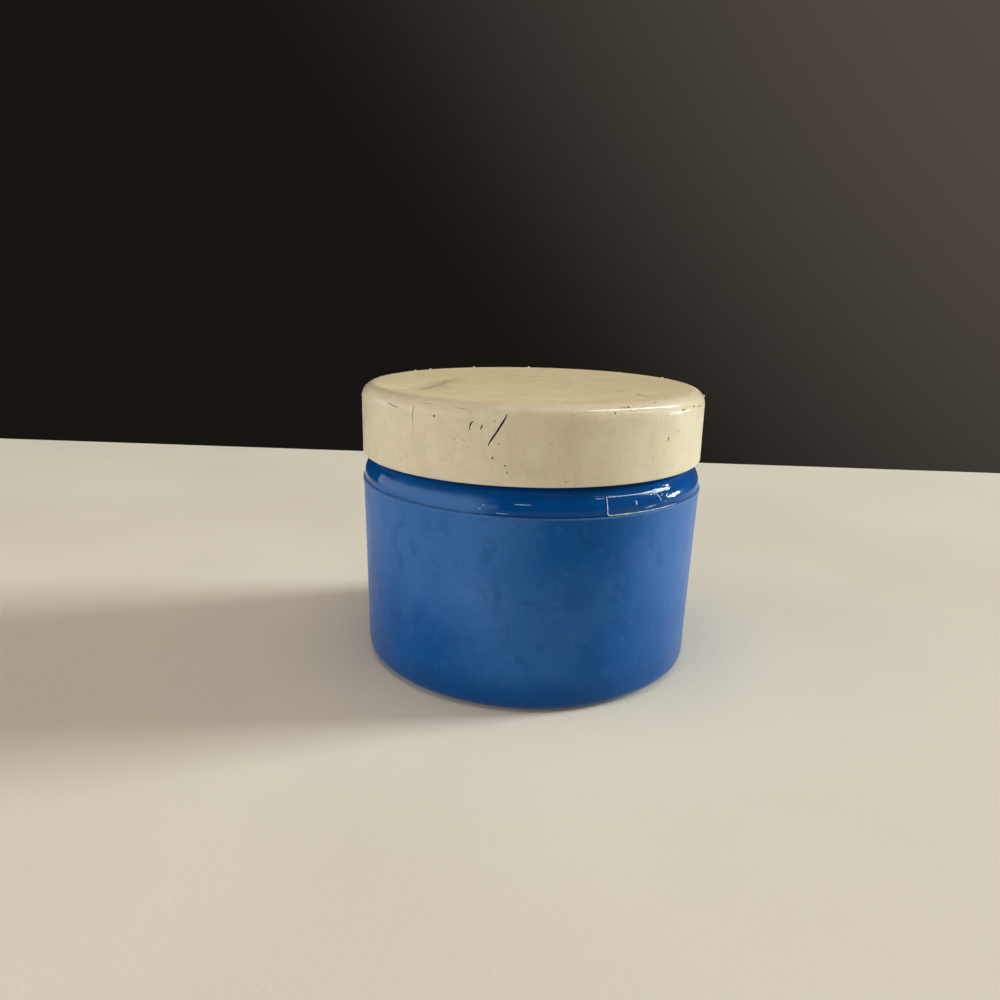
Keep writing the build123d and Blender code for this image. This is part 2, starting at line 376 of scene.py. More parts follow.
def satin_blue_material():
    """Satin wall: a deep blue under a paler painted reflection at its sides and middle, painted shade
    darker towards its base, with smudges and specks.
    """
    n = Nodes("shell_satin_blue")
    at = n.place()
    x, _, z = n.split(at)
    colour = n.patches(at, 8, 0.35, 0.7, rgba(0.001, 0.076, 0.290), rgba(0.001, 0.089, 0.325), warp=0.8)

    # painted reflection: a paler haze covers the upper left and right of the front and a band across its
    # middle, with ragged edges
    drift = n.ramp(n.cloud(at, 14, 3, 0.5, 0.4), 0.3, 0.7, -5.0, 5.0, "LINEAR")
    ragged = n.math("ADD", x, drift)
    sides = n.math("ADD", n.ramp(ragged, -12.0, 7.0, 0.80, 0.0), n.ramp(ragged, 9.0, 24.0, 0.0, 0.68))
    upper = n.math("MULTIPLY", sides, n.ramp(z, 6.0, 27.0), clamp=True)
    band = n.product(n.ramp(z, 2.5, 6.5, 0.0, 0.40), n.ramp(z, 19.0, 27.0, 1.0, 0.0))
    band = n.product(band, n.ramp(ragged, 7.0, 15.0, 1.0, 0.2), n.ramp(ragged, -17.0, -9.0))
    colour = n.mix(n.math("ADD", upper, band, clamp=True), colour, rgba(0.050, 0.165, 0.450))

    smudge = n.cloud(n.place((1, 1, 0.8)), 4.5, 5, 0.6, 1.2)
    colour = n.mix(n.ramp(smudge, 0.52, 0.72, 0, 0.42), colour, rgba(0.001, 0.066, 0.250))
    scuff = n.cloud(at, 1.7, 6, 0.7, 0.4)
    colour = n.mix(n.ramp(scuff, 0.48, 0.75, 0, 0.30), colour, rgba(0.050, 0.175, 0.460))
    speck = n.ramp(n.cloud(at, 0.4, 2, 0.5), 0.735, 0.77)
    colour = n.mix(n.math("MULTIPLY", speck, 0.6), colour, rgba(0.001, 0.02, 0.08))
    # painted shade: darker towards the base
    colour = n.mix(n.ramp(z, 0.6, 8.0, 0.88, 0.0), colour, rgba(0.004, 0.062, 0.225))
    # painted highlight: the lip's top edge is made paler in ragged patches
    lip = n.product(n.ramp(z, SHELL_TOP - 0.40, SHELL_TOP - 0.12), n.ramp(scuff, 0.35, 0.6, 0.15, 0.5))
    colour = n.mix(lip, colour, rgba(0.060, 0.185, 0.450))

    rough = n.ramp(n.cloud(at, 3.5, 5, 0.6, 0.5), 0.3, 0.7, 0.40, 0.54)
    normal = n.height(n.cloud(at, 0.5, 3, 0.6), 0.012)
    normal = n.height(n.cloud(at, 7, 3, 0.5, 0.4), 0.12, after=normal)
    return n.finish(colour, rough, normal, Specular_IOR_Level=0.10, Sheen_Weight=0.30, Sheen_Roughness=0.35)


def gloss_blue_material():
    """Glossy moulded shoulder, neck and bowl, rougher at the shoulder's front left, where a paler painted
    reflection is coloured in.
    """
    n = Nodes("cup_gloss_blue")
    at = n.place()
    x, y, z = n.split(at)
    colour = n.patches(at, 6, 0.35, 0.7, rgba(0.001, 0.060, 0.245), rgba(0.001, 0.072, 0.290), warp=0.5)
    # painted reflection: the front left of the shoulder is coloured a paler hazy blue, and made rougher
    # there
    height = n.math("ADD", z, n.ramp(n.cloud(at, 3.0, 4, 0.6), 0.3, 0.7, -0.25, 0.25, "LINEAR"))
    above = n.math("SUBTRACT", height, n.ramp(x, -27.5, -20.0, SHELL_TOP + 0.3, SHELL_TOP + 2.7))
    dull_patch_and_painted_reflection = n.product(
        n.ramp(above, -0.75, 0.55, 1.0, 0.0),
        n.ramp(x, -9.5, -4.0, 1.0, 0.0),
        n.ramp(x, -26.0, -9.0, 0.55, 0.95),
        n.ramp(y, -4.0, 2.0, 1.0, 0.0),
    )
    colour = n.mix(dull_patch_and_painted_reflection, colour, rgba(0.048, 0.160, 0.440))
    rough = n.ramp(n.cloud(at, 2.5, 5, 0.6), 0.35, 0.75, 0.06, 0.14)
    rough = n.math("ADD", rough, n.math("MULTIPLY", dull_patch_and_painted_reflection, 0.36))
    normal = n.height(n.cloud(at, 5, 2, 0.5), 0.05)
    normal = n.height(n.cloud(at, 0.8, 3, 0.5), 0.003, after=normal)
    return n.finish(colour, rough, normal, Specular_IOR_Level=0.15)


def glint_material():
    # painted highlights: pale blue strokes stand for glints on the glossy shoulder
    n = Nodes("painted_shoulder_glints")
    at = n.place()
    colour = n.patches(at, 0.35, 0.35, 0.65, rgba(0.10, 0.26, 0.52), rgba(0.42, 0.58, 0.78), 3, 0.6)
    return n.finish(colour, n.ramp(n.cloud(at, 0.5, 2), 0.3, 0.7, 0.25, 0.45), Specular_IOR_Level=0.4)


def tape_material():
    n = Nodes("tape_clear_film")
    at = n.place()
    milky = n.ramp(n.cloud(at, 1.0, 4, 0.6), 0.45, 0.75, 0, 0.5)
    colour = n.mix(milky, rgba(0.01, 0.09, 0.30), rgba(0.10, 0.22, 0.45))
    rough = n.ramp(n.cloud(at, 1.2, 4, 0.6), 0.3, 0.7, 0.04, 0.12)
    normal = n.height(n.cloud(at, 2.2, 3, 0.5, 0.6), 0.05)
    return n.finish(colour, rough, normal, Alpha=0.10, Specular_IOR_Level=0.6)


def tape_edge_highlight_material():
    # painted highlight: pale blue to near white for the film's edge
    n = Nodes("tape_edge_painted_highlight")
    at = n.place()
    colour = n.patches(at, 0.5, 0.35, 0.65, rgba(0.35, 0.55, 0.85), rgba(0.85, 0.92, 1.0), 4, 0.6)
    rough = n.ramp(n.cloud(at, 0.4, 3, 0.6), 0.3, 0.7, 0.2, 0.4)
    return n.finish(colour, rough, None, Specular_IOR_Level=0.7)


def paint_material():
    n = Nodes("wet_blue_paint")
    at = n.place()
    colour = n.patches(at, 7, 0.35, 0.7, rgba(0.006, 0.05, 0.30), rgba(0.02, 0.11, 0.46), warp=1.5)
    rough = n.ramp(n.cloud(at, 3, 4, 0.6), 0.3, 0.7, 0.10, 0.28)
    normal = n.height(n.cloud(at, 2.5, 3, 0.5, 0.8), 0.08)
    return n.finish(colour, rough, normal, Coat_Weight=0.6, Coat_Roughness=0.06)


def foam_material():
    n = Nodes("liner_foam")
    at = n.place()
    voronoi = n.add("ShaderNodeTexVoronoi", {"Vector": at, "Scale": 2.2}, feature="DISTANCE_TO_EDGE")
    cells = voronoi.outputs["Distance"]
    colour = n.mix(n.ramp(cells, 0.0, 0.25), rgba(0.62, 0.60, 0.55), rgba(0.80, 0.78, 0.72))
    stain = n.ramp(n.cloud(at, 6, 4, 0.6), 0.5, 0.75, 0, 0.3)
    colour = n.mix(stain, colour, rgba(0.30, 0.42, 0.60))
    normal = n.height(n.ramp(cells, 0.0, 0.2), 0.04)
    return n.finish(colour, n.ramp(cells, 0, 0.3, 0.75, 0.6), normal)


def mark_material(name, dark, pale, size, smoothest, roughest):
    """A dull material for small marks on the lid, blotched between two colours."""
    n = Nodes(name)
    at = n.place()
    colour = n.mix(n.cloud(at, size, 3, 0.6), dark, pale)
    rough = n.ramp(n.cloud(at, 0.5, 2), 0.3, 0.7, smoothest, roughest)
    return n.finish(colour, rough, Specular_IOR_Level=0.1)


def crack_material():
    dark, pale = rgba(0.005, 0.004, 0.004), rgba(0.022, 0.016, 0.013)
    return mark_material("lid_dark_cracks", dark, pale, 0.4, 0.7, 0.9)


def grime_material():
    dark, pale = rgba(0.05, 0.035, 0.022), rgba(0.16, 0.12, 0.08)
    return mark_material("lid_grime_specks", dark, pale, 0.8, 0.7, 0.9)


def faint_material():
    dark, pale = rgba(0.30, 0.23, 0.14), rgba(0.42, 0.34, 0.22)
    return mark_material("lid_faint_stains_and_shade", dark, pale, 0.8, 0.6, 0.8)


def crumb_material():
    n = Nodes("dried_crumbs")
    at = n.place()
    colour = n.mix(n.cloud(at, 0.3, 3, 0.6), rgba(0.50, 0.42, 0.28), rgba(0.80, 0.74, 0.60))
    rough = n.ramp(n.cloud(at, 0.3, 2), 0.3, 0.7, 0.5, 0.8)
    return n.finish(colour, rough, n.height(n.cloud(at, 0.2, 3), 0.05))


def paper_material():
    n = Nodes("pale_floor")
    at = n.place()
    colour = n.patches(at, 60, 0.3, 0.7, rgba(0.755, 0.690, 0.590), rgba(0.795, 0.730, 0.630), 3)
    normal = n.height(n.cloud(at, 0.8, 5, 0.7), 0.05)
    return n.finish(colour, n.ramp(n.cloud(at, 30, 2), 0.3, 0.7, 0.8, 0.9), normal)


cream = cream_material()
satin_blue = satin_blue_material()
gloss_blue = gloss_blue_material()


# ---------------------------------------------------------------- lid
FOLD_START = Vector((-23.6, -12.6))
FOLD_END = Vector((-15.6, 7.5))
FOLD_DEPTH = 0.62
FOLD_BOW = 3.4
NEAR_SLOPE, FAR_SLOPE = 2.4, 2.6


def seat_lid(p):
    """The lid sits a touch off centre, low and not quite level on its thread."""
    own = Vector((p.x * LID_SHRINK, p.y * LID_SHRINK, p.z)) - LID_PIVOT
    return LID_LEAN @ own + LID_PIVOT + LID_SHIFT


def buckle(x, y):
    """How far the top panel sinks, in mm, beside the crease pressed across its left side."""
    length = (FOLD_END - FOLD_START).length
    along = (FOLD_END - FOLD_START) / length
    d = Vector((x, y)) - FOLD_START
    s = d.dot(along)
    # the crease bows towards the lid's middle, mostly near its front end
    bow = FOLD_BOW * smooth(-0.5, 5.0, s) * (1 - s / 23)
    across = d.x * along.y - d.y * along.x - bow
    ends = smooth(-2.0, 3.0, s) * (1 - smooth(length * 0.6, length + 5, s))
    slope = math.exp(-across / NEAR_SLOPE) if across > 0 else math.exp(across / FAR_SLOPE)
    edge = 1 - smooth(25.5, LID_FLAT, math.hypot(x, y))
    return FOLD_DEPTH * ends * slope * edge


def top_height(r):
    """Height of the slightly dished top at a radius."""
    return LID_PEAK - LID_DISH * (1 - (r / LID_FLAT) ** 2)


def top_wave(x, y):
    """How far the top panel swells or sinks between its rim and its middle, in mm."""
    wave = noise.noise(Vector((x * 0.09, y * 0.09, 3.1)))
    return (0.06 * wave - 0.05) * smooth(LID_FLAT, LID_FLAT - 5, math.hypot(x, y))


def side_scale(p):
    """How far out of round the lid's side is at a point on it, as a factor."""
    ripple = noise.noise(Vector((p.x * 0.12, p.y * 0.12, p.z * 0.1 + 9.0)))
    return 1 + 0.035 * (ripple - 0.25) / WOBBLE_R


def sculpt_lid(p):
    r = math.hypot(p.x, p.y)
    on_top = smooth(LID_FLAT + 0.4, LID_FLAT - 0.2, r) if p.z > LID_PEAK - 0.5 else 0
    if on_top > 0:
        p.z -= buckle(p.x, p.y) * on_top
        p.z += top_wave(p.x, p.y) * on_top
    elif p.z < LID_CORNER_Z:
        scale = side_scale(p)
        p.x *= scale
        p.y *= scale
    return seat_lid(p)


def lid_profile():
    rings = 46
    top = [(LID_FLAT * i / rings, top_height(LID_FLAT * i / rings)) for i in range(rings)]
    corner = arc((LID_FLAT, LID_CORNER_Z), LID_CORNER, 90, 0, 14)
    foot = arc((LID_R - LID_FOOT_ROUND, LID_MOUTH + LID_FOOT_ROUND), LID_FOOT_ROUND, 0, -90, 4)
    skirt = run(corner[-1], foot[0], 16)
    inner_centre = (LID_BORE + LID_BORE_ROUND, LID_MOUTH + LID_BORE_ROUND)
    inner_foot = arc(inner_centre, LID_BORE_ROUND, -90, -180, 4)
    throat = run(inner_foot[-1], (LID_BORE, LID_CEILING - 0.5), 8)
    cove = [(LID_BORE - 0.15, LID_CEILING - 0.15), (LID_BORE - 0.5, LID_CEILING)]
    ceiling = run(cove[-1], (0, LID_CEILING), 8)
    return top + corner + skirt[:-1] + foot + inner_foot + throat + cove + ceiling


lid = lathe("lid_shell", lid_profile(), cream, sculpt_lid)
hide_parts("lid")
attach(lid, "lid")

lid_thread = thread_ridge("lid_thread", LID_BORE, LID_THREAD_R, LID_THREAD_Z, 1.4, 0.5, cream, seat_lid)
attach(lid_thread, "lid")


# ---------------------------------------------------------------- marks on the lid
def lid_surface(azimuth, z, lift=0.02):
    """A point on the lid's side, following the rounded corner where z is above it."""
    over = z - LID_CORNER_Z
    if over > 0:
        over = min(over, LID_CORNER)
        return polar(LID_FLAT + math.sqrt((LID_CORNER + lift) ** 2 - over**2), azimuth, z)
    return polar((LID_R + lift) * side_scale(polar(LID_R, azimuth, z)), azimuth, z)


def top_surface(x, y, lift=0.06):
    """A point on the lid's dished and dented top."""
    return Vector((x, y, top_height(math.hypot(x, y)) - buckle(x, y) + top_wave(x, y) + lift))


def outward(p):
    """Which way the lid's surface faces at a point on it."""
    r = math.hypot(p.x, p.y)
    if r < LID_FLAT:
        return Vector((0, 0, 1))
    rise = max(0.0, p.z - LID_CORNER_Z)
    return Vector((p.x / r * (r - LID_FLAT), p.y / r * (r - LID_FLAT), rise)).normalized()


def ribbon(verts, faces, path, widths):
    """A thin strip along points on the lid, each with its own width in mm."""
    base = len(verts)
    for i, p in enumerate(path):
        ahead = path[min(i + 1, len(path) - 1)] - path[max(i - 1, 0)]
        side = ahead.cross(outward(p)).normalized() * widths[i] / 2
        verts.extend([p - side, p + side])
    strip_faces(faces, base, len(path) - 1)


def crack(verts, faces, ends, width, rng):
    """A tapering crack through (azimuth, height) points on the lid's side."""
    steps, wobble = 26, 0.05
    path, widths = [], []
    for i in range(steps + 1):
        t = i / steps * (len(ends) - 1)
        k = min(int(t), len(ends) - 2)
        f = t - k
        azimuth = ends[k][0] * (1 - f) + ends[k + 1][0] * f
        z = ends[k][1] * (1 - f) + ends[k + 1][1] * f
        jitter = wobble * noise.noise(Vector((i * 0.23, ends[0][0], width * 10)))
        path.append(lid_surface(azimuth + math.degrees(jitter / LID_R), z))
        swell = math.sin(math.pi * min(1.0, 0.12 + 0.95 * i / steps) ** 1.1)
        widths.append(width * (0.30 + 0.75 * swell) * (0.85 + 0.3 * rng.random()))
    ribbon(verts, faces, path, widths)


def scratch(verts, faces, start, end, width):
    """A thin straight line on the lid's top between two (x, y) points."""
    steps = 10
    path, widths = [], []
    for i in range(steps + 1):
        f = i / steps
        path.append(top_surface(start[0] * (1 - f) + end[0] * f, start[1] * (1 - f) + end[1] * f))
        widths.append(width * min(1.0, 0.3 + 4.0 * min(i, steps - i) / steps))
    ribbon(verts, faces, path, widths)


# each line is its (azimuth, height) points and its width
CRACKS = (
    (((-6.5, 47.5), (-7.1, 46.8), (-8.8, 45.3), (-10.2, 44.15), (-11.5, 43.15), (-11.5, 42.75)), 0.27),
    (((-15.9, 46.3), (-16.6, 46.0), (-17.0, 45.45), (-17.0, 44.9)), 0.20),
    (((-13.3, 45.9), (-13.9, 45.1)), 0.18),
    (((-10.5, 41.3), (-10.2, 40.9)), 0.20),
)
HAIRLINES = (
    (((-36.1, 47.6), (-36.1, 47.0), (-36.3, 46.5), (-36.2, 45.4), (-36.1, 43.8)), 0.08),
    (((50.5, 47.2), (53.7, 47.2)), 0.16),
    (((63.3, 47.05), (66.2, 47.1)), 0.16),
    (((44.6, 43.4), (44.4, 42.8)), 0.26),
)
# thin brown lines; the three along the top of the rim are painted shade at the lower edge of the rim's
# highlight, the last is a smear
FAINT_LINES = (
    (((-35.1, 48.1), (-32.0, 48.15), (-29.2, 48.15)), 0.07),
    (((-22.3, 48.0), (-19.5, 47.9), (-17.2, 47.8)), 0.09),
    (((29.2, 48.4), (26.6, 48.4)), 0.10),
    (((-48.3, 47.4), (-45.1, 47.1), (-42.4, 47.0)), 0.20),
)
# each scratch is its (x, y) ends on the lid's top and its width
SCRATCHES = (
    ((16.95, -12.2), (17.6, -14.5), 0.20),
    ((17.6, -14.6), (18.2, -16.0), 0.14),
    ((14.1, -7.7), (15.1, -8.9), 0.12),
)
# each spot is its azimuth, height and size
SPOTS = (
    (-28.3, 46.5, 0.15), (-6.8, 40.1, 0.13), (-6.2, 39.1, 0.12), (24.1, 47.7, 0.13),
    (40.6, 48.7, 0.12), (29.2, 48.4, 0.18), (59.6, 47.3, 0.18), (49.5, 44.1, 0.12),
)
STAINS = (
    (-10.0, 46.5, 0.12), (-18.7, 43.4, 0.11), (-21.7, 43.5, 0.10), (-8.6, 43.2, 0.11),
    (-38.5, 39.8, 0.11), (-20.3, 39.5, 0.11), (11.8, 47.5, 0.10), (38.1, 40.7, 0.12), (10.3, 37.9, 0.13),
)
# each crumb is its azimuth, distance from the axis and size
CRUMBS = (
    (-123.5, 27.9, 0.20), (-131.8, 27.8, 0.18), (-154.0, 28.4, 0.22), (-178.0, 28.3, 0.20),
    (119.8, 29.0, 0.33), (117.0, 29.1, 0.28), (78.4, 29.6, 0.22), (141.0, 28.3, 0.12),
    (164.0, 28.4, 0.10), (-100.0, 28.6, 0.12),
)


crack_black = crack_material()


def crack_piece():
    rng = random.Random(4)
    verts, faces = [], []
    for ends, width in CRACKS:
        crack(verts, faces, ends, width, rng)
    return add_mesh("lid_cracks", verts, faces, crack_black, seat_lid)


def hairline_piece():
    rng = random.Random(5)
    verts, faces = [], []
    for ends, width in HAIRLINES:
        crack(verts, faces, ends, width, rng)
    for start, end, width in SCRATCHES:
        scratch(verts, faces, start, end, width)
    return add_mesh("lid_hairlines", verts, faces, grime_material(), seat_lid)


def blot(verts, faces, centre, size, rng, stretch=1.0):
    """A flat ragged spot lying on the surface."""
    facing = outward(centre)
    across = facing.cross(Vector((0, 0, 1)))
    if across.length < 0.1:
        across = Vector((1, 0, 0))
    across.normalize()
    up = across.cross(facing).normalized()
    base, count = len(verts), 10
    verts.append(centre)
    for i in range(count):
        a = TURN * i / count
        r = size * (0.65 + 0.6 * rng.random())
        verts.append(centre + across * (r * math.cos(a) * stretch) + up * (r * math.sin(a)))
    for i in range(count):
        faces.append((base, base + 1 + i, base + 1 + (i + 1) % count))


def spot_piece():
    rng = random.Random(11)
    verts, faces = [], []
    for azimuth, z, size in SPOTS:
        blot(verts, faces, lid_surface(azimuth, z, 0.03), size, rng, 0.8 + 0.6 * rng.random())
    return add_mesh("lid_spots", verts, faces, crack_black, seat_lid)


def stain_and_shade_piece():
    rng = random.Random(12)
    verts, faces = [], []
    for ends, width in FAINT_LINES:
        crack(verts, faces, ends, width, rng)
    for azimuth, z, size in STAINS:
        blot(verts, faces, lid_surface(azimuth, z, 0.02), size, rng, 0.8 + 0.8 * rng.random())
    for _ in range(70):
        azimuth, z = rng.uniform(-180, 180), rng.uniform(37.5, 46.4)  # anywhere on the straight side
        blot(verts, faces, lid_surface(azimuth, z, 0.012), rng.uniform(0.03, 0.07), rng)
    return add_mesh("lid_stains_and_rim_shade", verts, faces, faint_material(), seat_lid)


def crumb_piece():
    """Dried flakes stuck along the lid's far rim."""
    rng = random.Random(7)
    verts, faces = [], []
    for azimuth, r, size in CRUMBS:
        drop = max(0.0, r - LID_FLAT)
        z = LID_CORNER_Z + math.sqrt(LID_CORNER**2 - drop**2)
        centre = polar(r, azimuth, z + size * 0.25)
        bm = bmesh.new()
        bmesh.ops.create_icosphere(bm, subdivisions=2, radius=size)
        seed = rng.uniform(0, 50)
        base = len(verts)
        for v in bm.verts:
            lump = 1 + 0.7 * noise.noise(v.co * (1.8 / size) + Vector((seed, 0, 0)))
            verts.append(centre + Vector((v.co.x * lump * 1.2, v.co.y * lump, v.co.z * lump * 0.8)))
        for f in bm.faces:
            faces.append(tuple(base + v.index for v in f.verts))
        bm.free()
    return add_mesh("lid_crumbs", verts, faces, crumb_material(), seat_lid)


for mark in (crack_piece(), hairline_piece(), spot_piece(), stain_and_shade_piece(), crumb_piece()):
    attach(mark, "lid")


# ---------------------------------------------------------------- outer shell
def sculpt_shell(p):
    """The lip wanders a little, and the wall isn't perfectly round."""
    azimuth = math.radians(azimuth_of(p))
    near_lip = smooth(SHELL_TOP - 0.7, SHELL_TOP, p.z)
    swing = Vector((math.cos(azimuth) * 1.3, math.sin(azimuth) * 1.3, 2.0))
    p.z -= 0.09 * near_lip * (0.5 + noise.noise(swing))
    wall = noise.noise(Vector((p.x * 0.06, p.y * 0.06, p.z * 0.08)))
    scale = 1 + (0.05 * wall - 0.03) / WOBBLE_R
    if p.z > 4:
        p.x *= scale
        p.y *= scale
    return p


def shell_profile():
    foot = [(0, FOOT_RECESS), (8, FOOT_RECESS), (15, FOOT_RECESS), (FOOT_INNER - 1.6, FOOT_RECESS)]
    step = [(FOOT_INNER - 1.1, FOOT_RECESS - 0.1), (FOOT_INNER - 0.4, 0.15), (FOOT_INNER + 0.1, 0)]
    heel = arc((SHELL_R_BASE - HEEL, HEEL), HEEL, -90, 0, 14)
    wall = run(heel[-1], (SHELL_R_TOP, SHELL_TOP - 0.95), 22)
    lip = [
        (SHELL_R_TOP + 0.03, SHELL_TOP - 0.80),
        (LIP_R - 0.03, SHELL_TOP - 0.60),
        (LIP_R, SHELL_TOP - 0.42),
    ]
    lip += arc((LIP_R - LIP_ROUND, SHELL_TOP - LIP_ROUND), LIP_ROUND, 0, 90, 5)
    mouth = [(SHOULDER_R - 0.1, SHELL_TOP - 0.02), (SHELL_BORE + 0.05, SHELL_TOP - 0.02)]
    mouth += [(SHELL_BORE, SHELL_TOP - 0.1)]
    inner_r, bend = SHELL_R_BASE - SHELL_WALL, SHELL_FLOOR + SHELL_FLOOR_ROUND
    bore = run(mouth[-1], (inner_r, bend), 10)
    floor = arc((inner_r - SHELL_FLOOR_ROUND, bend), SHELL_FLOOR_ROUND, 0, -90, 5)
    floor += [(14, SHELL_FLOOR), (0, SHELL_FLOOR)]
    return foot + step + heel + wall + lip + mouth + bore + floor


shell = lathe("shell_wall", shell_profile(), satin_blue, sculpt_shell)
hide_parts("outer_shell")
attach(shell, "jar")


# ---------------------------------------------------------------- inner cup
def cup_profile():
    skirt_r = SHELL_BORE - 0.08
    inner_r = skirt_r - SKIRT_WALL
    skirt = [(inner_r, CAVITY_TOP), (inner_r, SKIRT_FOOT)]
    skirt += [(skirt_r - 0.2, SKIRT_FOOT), (skirt_r, SKIRT_FOOT + 0.6)]
    seat = SHELL_TOP + 0.01
    ledge = [(skirt_r, seat), (SHOULDER_R - 0.05, seat), (SHOULDER_R, SHELL_TOP + 0.06)]
    neck_angle = math.degrees(math.acos((NECK_R - SHOULDER_ARC_R) / SHOULDER_ROUND))
    shoulder = arc((SHOULDER_ARC_R, SHOULDER_ARC_Z), SHOULDER_ROUND, 0, neck_angle - 3, 26)
    rim_z = RIM_Z - RIM_ROUND
    neck = run((NECK_R, shoulder[-1][1] + 0.12), (NECK_R, rim_z), 12)
    rim = arc((NECK_R - RIM_ROUND, rim_z), RIM_ROUND, 0, 90, 5)
    rim += arc((NECK_BORE + RIM_ROUND, rim_z), RIM_ROUND, 90, 180, 5)
    bowl = run(rim[-1], (BOWL_TOP_R, SHELL_TOP), 8)
    bowl += run((BOWL_TOP_R, SHELL_TOP), (BOWL_BEND_R, BOWL_BEND_Z), 6)
    floor = arc(BOWL_ROUND_CENTRE, BOWL_ROUND, 0, -90, 10) + [(8, BOWL_FLOOR), (0, BOWL_FLOOR)]
    low = BOWL_FLOOR - BOWL_WALL
    under = [(0, low), (15, low), (22.5, 9.2), (24.9, 15.5), (26.25, CAVITY_TOP)]
    return skirt + ledge + shoulder + neck + rim + bowl + floor + under


cup = lathe("cup_shoulder_and_neck", cup_profile(), gloss_blue)
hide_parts("inner_cup")
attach(cup, "jar")

# each stroke is its (azimuth, height) ends and its width
# pale strokes painted where glints fall on the shoulder: painted highlights
SHOULDER_GLINTS = (
    ((-13.4, 33.55), (-12.8, 33.55), 0.30),
    ((-4.2, 33.95), (0.6, 33.95), 0.22),
    ((19.4, 34.68), (22.3, 34.68), 0.26),
    ((-9.4, 32.50), (-5.8, 32.50), 0.16),
    ((-14.6, 32.95), (-13.9, 32.95), 0.22),
    ((44.5, 33.1), (46.0, 33.1), 0.18),
)


def shoulder_point(azimuth, z, lift):
    """A point on the shoulder at a height, lift mm off the surface."""
    rise = z - SHOULDER_ARC_Z
    r = SHOULDER_R
    if rise > 0:
        r = SHOULDER_ARC_R + math.sqrt(SHOULDER_ROUND**2 - rise**2)
    return polar(r + lift, azimuth, z)


def strokes(name, marks, lift, material):
    """Short ragged strokes on the shoulder, each from one (azimuth, height) to another."""
    verts, faces = [], []
    steps = 8
    for start, end, width in marks:
        base = len(verts)
        first, last = shoulder_point(*start, lift), shoulder_point(*end, lift)
        side = (last - first).cross(first - Vector((0, 0, SHOULDER_ARC_Z))).normalized()
        for i in range(steps + 1):
            f = i / steps
            azimuth, z = start[0] + (end[0] - start[0]) * f, start[1] + (end[1] - start[1]) * f
            ragged = 0.8 + 0.4 * noise.noise(Vector((azimuth, z, 0)))
            half = width / 2 * (0.35 + 0.65 * math.sin(math.pi * f)) * ragged
            middle = shoulder_point(azimuth, z, lift)
            verts.extend([middle - side * half, middle + side * half])
        strip_faces(faces, base, steps)
    return add_mesh(name, verts, faces, material)


glint_strokes = strokes("shoulder_painted_glints", SHOULDER_GLINTS, 0.02, glint_material())
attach(glint_strokes, "jar")

neck_thread = thread_ridge("neck_thread", NECK_R, NECK_THREAD_R, NECK_THREAD_Z, 1.5, 0.6, gloss_blue)
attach(neck_thread, "jar")


# ---------------------------------------------------------------- tape strip
TAPE_LEFT, TAPE_RIGHT = 22.9, 51.6
TAPE_SWEEP = TAPE_RIGHT - TAPE_LEFT
TAPE_FOOT_Z = SHELL_TOP + 0.13
TAPE_RISE = 33.5
TAPE_LIFT = 0.03
TAPE_THICK = 0.06
TAPE_CORNER = 0.55
TAPE_HEIGHT = SHOULDER_ARC_Z - TAPE_FOOT_Z + SHOULDER_ROUND * math.radians(TAPE_RISE)
TAPE_WIDTH = math.radians(TAPE_SWEEP) * SHOULDER_R
# each bubble is its azimuth from the tape's left end, its share of the tape's height and its size
BUBBLES = ((8.2, 0.55, 0.35), (19.3, 0.50, 0.45), (20.6, 0.75, 0.4), (22.0, 0.62, 0.7), (12.5, 0.2, 0.25))


def shoulder_at(azimuth, height, lift):
    """A point on the shoulder, height mm of arc above the tape's foot, lift mm off the surface."""
    straight = SHOULDER_ARC_Z - TAPE_FOOT_Z
    if height < straight:
        return polar(SHOULDER_R + lift, azimuth, TAPE_FOOT_Z + height)
    a = (height - straight) / SHOULDER_ROUND
    reach = SHOULDER_ROUND + lift
    return polar(SHOULDER_ARC_R + reach * math.cos(a), azimuth, SHOULDER_ARC_Z + reach * math.sin(a))


def tape_outline(t):
    """Where the strip's foot and top edges lie at a share t of its width, with rounded corners."""
    d = t * TAPE_WIDTH
    cut = 0.0
    for side in (d, TAPE_WIDTH - d):
        if side < TAPE_CORNER:
            cut = TAPE_CORNER - math.sqrt(max(0.0, TAPE_CORNER**2 - (TAPE_CORNER - side) ** 2))
    return cut, TAPE_HEIGHT - 0.4 * cut


def tape_lift(t, height):
    """How far off the shoulder the film lies, with a swelling over each trapped bubble."""
    d = t * TAPE_WIDTH
    lift = TAPE_LIFT
    for azimuth, share, size in BUBBLES:
        away = math.hypot(d - azimuth / TAPE_SWEEP * TAPE_WIDTH, height - share * TAPE_HEIGHT)
        lift += 0.10 * bump(away, size)
    lift += 0.03 * noise.noise(Vector((d * 0.8, height * 0.8, 0)))
    return max(0.015, lift)


def tape_film():
    across, up = 90, 16
    verts, faces = [], []
    for layer in (0.0, TAPE_THICK):
        for i in range(across + 1):
            t = i / across
            low, high = tape_outline(t)
            for j in range(up + 1):
                height = low + (high - low) * j / up
                azimuth = TAPE_LEFT + TAPE_SWEEP * t
                verts.append(shoulder_at(azimuth, height, tape_lift(t, height) + layer))
    row = up + 1
    layer_size = (across + 1) * row
    for i in range(across):
        for j in range(up):
            a = i * row + j
            faces.append((a, a + row, a + row + 1, a + 1))
            b = a + layer_size
            faces.append((b, b + 1, b + row + 1, b + row))
    rim = [i * row for i in range(across + 1)] + [across * row + j for j in range(1, up + 1)]
    rim += [i * row + up for i in range(across - 1, -1, -1)] + [j for j in range(up - 1, 0, -1)]
    for k, a in enumerate(rim):
        b = rim[(k + 1) % len(rim)]
        faces.append((a, b, b + layer_size, a + layer_size))
    return add_mesh("tape_film", verts, faces, tape_material())


